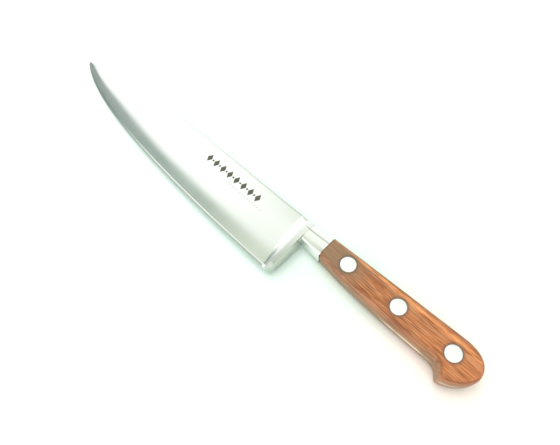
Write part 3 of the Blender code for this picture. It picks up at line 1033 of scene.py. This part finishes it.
def ease_neck(bm):
    ends = (COVE_END_X + RIM_EASE / 2, SCALE_FRONT_X - 2 * NECK_GAP)
    bmesh.ops.recalc_face_normals(bm, faces=bm.faces)
    corners = [
        edge for edge in bm.edges
        if min(vert.co.x for vert in edge.verts) > ends[0]
        and min(vert.co.x for vert in edge.verts) < ends[1]
        and min(vert.co.y for vert in edge.verts) > NECK_REAR[0][0] - 0.1
        and is_corner(edge)
    ]
    bmesh.ops.bevel(
        bm, geom=corners, offset=NECK_EASE, affect="EDGES", segments=2, profile=0.5, material=-1,
    )
    return len(corners)


draw_out_neck(forging_bm, split_back_face(forging_bm, back_rim))
print(ease_neck(forging_bm), "corner edges eased on the guard and neck")

# %% [markdown]
# ## The handle's outline
# Seen from the side the handle is narrow at the neck and grows to a rounded butt, with a hooked
# beak below that keeps the hand from slipping. The outline is five Bezier spans. Each span also
# says how far the scales' corners are rounded at its two ends, because the beak is left
# crisper than the back.

# %% Handle outline
HANDLE_SPANS = (
    (((63, 17.9), (94, 19.6), (123.5, 20.8), (150, CROWN_Y)), 30, 2.8, 4.2),
    (((150, CROWN_Y), (160, CROWN_Y), (BUTT_X, 17.0), (BUTT_X, 10)), 22, 4.2, 1.8),
    (((BUTT_X, 10), (BUTT_X, 3.5), (157, -3.5), (151, -4.0)), 22, 1.8, 1.2),
    (((151, -4.0), (148.4, -4.3), (148.5, 1.2), (141, 1.2)), 22, 1.2, 3.4),
    (((141, 1.2), (120, 1.0), (95, 0.0), (63, 3.8)), 30, 3.4, 2.6),
)
FRONT_OVERRUN = 6.0
OVERRUN_DROP = 0.4


def handle_outline():
    """The outline as (x, y, rounding) points, from the front's top round to its foot."""
    points = []
    for curve, samples, round_start, round_end in HANDLE_SPANS:
        for step, (x, y) in enumerate(bezier(curve, samples)):
            if step or not points:
                points.append((x, y, mix(round_start, round_end, step / (samples - 1))))
    return points


def pulled_in(points, amount):
    """The outline drawn inwards, square to itself, by an amount that depends on the point."""
    ring = []
    for i, (x, y, rounding) in enumerate(points):
        before, after = points[i - 1], points[(i + 1) % len(points)]
        along = Vector((after[0] - before[0], after[1] - before[1])).normalized()
        pull = amount(rounding)
        ring.append((x + along.y * pull, y - along.x * pull))
    return ring


outline = handle_outline()
print(len(outline), "points round the handle")

# %% [markdown]
# ## The tang
# The steel runs on through the handle as a flat plate of the handle's full outline. Only its
# rim shows, as a pale line all round between the two scales. It is a loft of four rings, with
# its long corners broken, and it is then joined to the forging. The rivets' holes are drilled
# last.

# %% Tang
FIT_GAP = 0.3
TANG_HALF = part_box("handle_scale_left")[0].z / MM - MID_Z - FIT_GAP
TANG_EASE = 0.15
TANG_ROOT = ((59.0, 4.6, 1.0), (59.0, 17.4, 1.0))
SLEEVE_RADIUS, PIN_RADIUS = 3.0, 1.7
DRILL_GAP = 0.12


def loft_tang():
    bm = bmesh.new()
    points = [*TANG_ROOT, *outline]
    inner = pulled_in(points, lambda rounding: TANG_EASE)
    outer = pulled_in(points, lambda rounding: 0.0)
    levels = (
        (inner, -TANG_HALF), (outer, TANG_EASE - TANG_HALF), (outer, TANG_HALF - TANG_EASE),
        (inner, TANG_HALF),
    )
    rings = [ring_of(bm, [(x, y, MID_Z + z) for x, y in ring]) for ring, z in levels]
    loft(bm, rings)
    for face in bm.faces:
        face.material_index = POLISHED
    return finish_piece("tang_blank", bm, satin_steel, polished_steel)


def tang_drill(name):
    radius, reach = SLEEVE_RADIUS + DRILL_GAP, 2 * MID_Z
    profile = ((0, 0), (radius, 0), (radius, reach), (0, reach))
    return finish_piece(f"{name}_drill", turned(profile, rivet_centre(name)[0]), satin_steel)


forging = finish_piece("knife_forging", forging_bm, satin_steel, polished_steel, honed_shaded_steel)
cut_or_join(forging, [loft_tang()], "UNION")
cut_or_join(forging, [tang_drill(name) for name in RIVETS], "DIFFERENCE")
shade_round(forging)
print(forging.name, len(forging.data.polygons), "faces")

# %% [markdown]
# ## The scales
# Each scale is a slab of wood sawn to the tang's outline and then rasped round along its long
# edges. The loft follows it: a short upright wall at the tang, then a quarter ellipse in to the
# flat cheek. The front is sawn off square with `bisect_plane`, and its rim is broken. Last come
# the stepped holes for the rivets.

# %% Wooden scales
CHEEK_WALL = 1.0
CHEEK_STEPS = 14
SEAT_EASE = 0.12
FRONT_EASE = 0.3
HEAD_THICKNESS = 2.2


def cheek_rings(points):
    """Rings of one cheek, as (x, y) points and their height over the knife's mid-plane."""
    crown = MID_Z - TANG_HALF - CHEEK_WALL
    rings = [
        (pulled_in(points, lambda rounding: SEAT_EASE), TANG_HALF),
        (pulled_in(points, lambda rounding: 0.0), TANG_HALF + SEAT_EASE),
    ]
    for angle in quarter_turn(CHEEK_STEPS):
        ring = pulled_in(points, lambda rounding: rounding * (1.0 - math.cos(angle)))
        rings.append((ring, TANG_HALF + CHEEK_WALL + crown * math.sin(angle)))
    return rings


def saw_front(bm):
    """Saws the scale off square where it meets the neck and breaks the new rim."""
    everything = bm.verts[:] + bm.edges[:] + bm.faces[:]
    cut = bmesh.ops.bisect_plane(
        bm, geom=everything, plane_co=(SCALE_FRONT_X, 0, 0), plane_no=(-1, 0, 0), dist=0.001,
        clear_outer=True,
    )
    rim = [item for item in cut["geom_cut"] if isinstance(item, bmesh.types.BMEdge)]
    bmesh.ops.contextual_create(bm, geom=rim)
    bmesh.ops.recalc_face_normals(bm, faces=bm.faces)
    outer = [edge for edge in rim if max(abs(v.co.z - MID_Z) for v in edge.verts) > TANG_HALF + 1]
    bmesh.ops.bevel(
        bm, geom=outer, offset=FRONT_EASE, affect="EDGES", segments=3, profile=0.5, material=-1,
    )


def rivet_drill(name, side):
    hole, recess = SLEEVE_RADIUS + DRILL_GAP, HEAD_RADIUS + DRILL_GAP
    floor, over = MID_Z - HEAD_THICKNESS - DRILL_GAP, MID_Z + 1
    profile = ((0, 0), (hole, 0), (hole, floor), (recess, floor), (recess, over), (0, over))
    profile = [(radius, MID_Z + side * height) for radius, height in profile]
    return finish_piece(f"{name}_drill", turned(profile, rivet_centre(name)[0]), wood)


def make_scale(name, side):
    (top_x, top_y, top_round), (foot_x, foot_y, foot_round) = outline[0], outline[-1]
    points = [
        (top_x - FRONT_OVERRUN, top_y - OVERRUN_DROP, top_round), *outline,
        (foot_x - FRONT_OVERRUN, foot_y + OVERRUN_DROP, foot_round),
    ]
    bm = bmesh.new()
    rings = [
        ring_of(bm, [(x, y, MID_Z + side * height) for x, y in ring])
        for ring, height in cheek_rings(points)
    ]
    loft(bm, rings)
    saw_front(bm)
    scale = finish_piece(name, bm, wood)
    cut_or_join(scale, [rivet_drill(rivet, side) for rivet in RIVETS], "DIFFERENCE")
    shade_round(scale)
    print(name, len(scale.data.polygons), "faces")
    return scale


scales = {
    "handle_scale_left": make_scale("wood_scale_left", 1),
    "handle_scale_right": make_scale("wood_scale_right", -1),
}

# %% [markdown]
# ## The rivets
# Each rivet is a headed sleeve from the right and a headed pin from the left that is
# driven into it. Turned pieces are spun from half of their section. The heads are ground flush
# with the wood, and the buffing wheel leaves them very slightly domed, with a soft rim.

# %% Rivets
HEAD_DOME = 0.05
HEAD_EDGE = 0.14
BORE_GAP = 0.02
BORE_FLOOR = 0.8


def head_profile(face, inwards):
    """A rivet head's section from its centre to the underside of its rim."""
    flat = HEAD_RADIUS - HEAD_EDGE
    points = []
    for step in range(9):
        radius = flat * step / 8
        points.append((radius, face - inwards * (step / 8) ** 2 * HEAD_DOME))
    low_face = face - inwards * HEAD_DOME
    for angle in quarter_turn(4)[1:]:
        drop = HEAD_EDGE * (1.0 - math.cos(angle))
        points.append((flat + HEAD_EDGE * math.sin(angle), low_face - inwards * drop))
    points.append((HEAD_RADIUS, face - inwards * HEAD_THICKNESS))
    return points


def make_rivet(rivet):
    centre = rivet_centre(rivet)[0]
    top = 2 * MID_Z
    left_seat = top - HEAD_THICKNESS
    bore = PIN_RADIUS + BORE_GAP
    sleeve = head_profile(0.0, -1) + [
        (SLEEVE_RADIUS, HEAD_THICKNESS), (SLEEVE_RADIUS, left_seat - 0.1),
        (bore, left_seat - 0.1), (bore, HEAD_THICKNESS + BORE_FLOOR),
        (0.0, HEAD_THICKNESS + BORE_FLOOR),
    ]
    pin_end = HEAD_THICKNESS + BORE_FLOOR + 0.3
    pin = head_profile(top, 1) + [
        (PIN_RADIUS, left_seat), (PIN_RADIUS, pin_end + 0.3), (PIN_RADIUS - 0.3, pin_end),
        (0.0, pin_end),
    ]
    made = {}
    for part, profile in (("sleeve", sleeve), ("pin", pin)):
        piece = finish_piece(f"{rivet}_turned_{part}", turned(profile, centre), rivet_metal)
        shade_round(piece)
        made[f"{rivet}_{part}"] = piece
    return made


rivets = {}
for rivet in RIVETS:
    rivets.update(make_rivet(rivet))
print(len(rivets), "rivet pieces")

# %% [markdown]
# ## Each piece takes its node's place
# The knife has no joints, so every piece rides on the one body. Each stands for one node of the
# frame, which is hidden.

# %% Ride and replace
for node_name, piece in {"blade_forging": forging, **scales, **rivets}.items():
    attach(piece, "root")
    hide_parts(node_name)

# %% [markdown]
# ## Light
# The knife lies in a white light tent, so the light comes from everywhere and its shadows are
# short and faint. Polished steel shows only what it mirrors, so what matters is how the tent's
# brightness changes with direction. Its walls are bright, its roof is a little duller, and the
# roof has a slit along the knife's length, for the camera. Through it the steel mirrors the dark
# room. The blade's flat upper part looks past the slit, but the swelling face near the edge
# looks into it, and that is the soft dark band along the edge. Two more places are dimmer: the
# low walls on the near side and towards the butt, and a broad seam between the slit and the far
# wall. In an evenly white tent, polished steel would look like white paint. The world's shader
# draws the tent from the direction alone.

# %% Tent
TENT_STRENGTH = 1.6
SLIT_NEAR, SLIT_FAR = (-0.13, -0.08), (0.10, 0.150)
SEAM_NEAR, SEAM_FAR = (0.36, 0.44), (0.74, 0.84)
CLOTH = (
    (0.00, (0.70, 0.71, 0.70)), (0.35, (0.74, 0.75, 0.74)), (0.60, (0.83, 0.84, 0.83)),
    (0.86, (0.88, 0.89, 0.87)), (0.92, (0.685, 0.715, 0.66)), (1.00, (0.65, 0.68, 0.62)),
)
ROOM = (
    (0.00, (0.30, 0.33, 0.31)), (0.54, (0.24, 0.30, 0.27)), (0.62, (0.070, 0.095, 0.092)),
    (0.67, (0.080, 0.115, 0.110)), (0.74, (0.150, 0.205, 0.185)),
    (0.83, (0.190, 0.255, 0.215)), (0.90, (0.29, 0.35, 0.28)), (0.94, (0.49, 0.53, 0.43)),
    (1.00, (0.61, 0.65, 0.57)),
)
FAR_WALL = (0.72, 0.73, 0.71)
SEAM = (0.40, 0.44, 0.36)
NEAR_SIDE = (0.27, 0.31, 0.29)
LOW_WALL, NEAR_WALL, TIP_END = (0.30, 0.50), (0.25, 0.45), (-0.45, -0.25)
BUTT_END, BUTT_DIMNESS = (0.35, 0.60), 0.6
SEAM_STARTS = (-0.66, -0.48)


def make_tent():
    world = bpy.data.worlds.new("white_tent")
    world.use_nodes = True
    tree = world.node_tree
    direction = node(tree, "ShaderNodeTexCoord").outputs["Generated"]
    axes = node(tree, "ShaderNodeSeparateXYZ", {0: direction}).outputs
    tent = ramp(tree, axes["Z"], *CLOTH)
    near = product(
        tree, fade_out(tree, axes["Z"], *LOW_WALL), fade_in(tree, axes["X"], *TIP_END),
        fade_out(tree, axes["Y"], *NEAR_WALL),
    )
    near = maths(tree, "MAXIMUM", near, spread(tree, axes["X"], *BUTT_END, 0.0, BUTT_DIMNESS))
    tent = blend(tree, near, tent, NEAR_SIDE)
    tent = blend(tree, fade_in(tree, axes["Y"], *SEAM_FAR), tent, FAR_WALL)
    seam = product(
        tree, strip(tree, axes["Y"], SEAM_NEAR, SEAM_FAR),
        fade_in(tree, axes["X"], *SEAM_STARTS),
    )
    tent = blend(tree, seam, tent, SEAM)
    slit = strip(tree, axes["Y"], SLIT_NEAR, SLIT_FAR)
    tent = blend(tree, slit, tent, ramp(tree, axes["Z"], *ROOM))
    background = tree.nodes["Background"]
    tree.links.new(tent, background.inputs["Color"])
    background.inputs["Strength"].default_value = TENT_STRENGTH
    bpy.context.scene.world = world
    bpy.context.scene.view_settings.view_transform = "Standard"


make_tent()
print("tent strength:", TENT_STRENGTH)

# %% [markdown]
# ## The lamp
# One large, weak lamp hangs a metre over the blade and adds a soft shadow on the table. Its own
# reflection would show as a white patch on the heel, guard and neck, so it is left out of what
# the steel mirrors: `visible_glossy` is turned off.

# %% Lamp
LAMP_PLACE = Vector((-0.12, 0.02, 1.05))
LAMP_SIDE = 0.6
LAMP_WATTS = 5.5


def make_lamp():
    lamp = bpy.data.lights.new("soft_lamp", "AREA")
    lamp.shape = "SQUARE"
    lamp.size = LAMP_SIDE
    lamp.energy = LAMP_WATTS
    holder = bpy.data.objects.new("soft_lamp", lamp)
    holder.location = LAMP_PLACE
    holder.rotation_euler = (-LAMP_PLACE).to_track_quat("-Z", "Y").to_euler()
    holder.visible_glossy = False
    bpy.context.scene.collection.objects.link(holder)


make_lamp()
print(f"lamp {LAMP_PLACE.length:.2f} m from the knife")

# %% [markdown]
# ## Measure and finish
# The boxes of the plain frame and of the finished knife are kept side by side. They should agree
# to within a fraction of a millimetre.

# %% Sizes
visual_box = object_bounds()
sizes = {
    "cad_box": [list(corner) for corner in cad_box],
    "visual_box": [list(corner) for corner in visual_box],
}
for label, box in sizes.items():
    print(label, [[round(value / MM, 2) for value in corner] for corner in box])
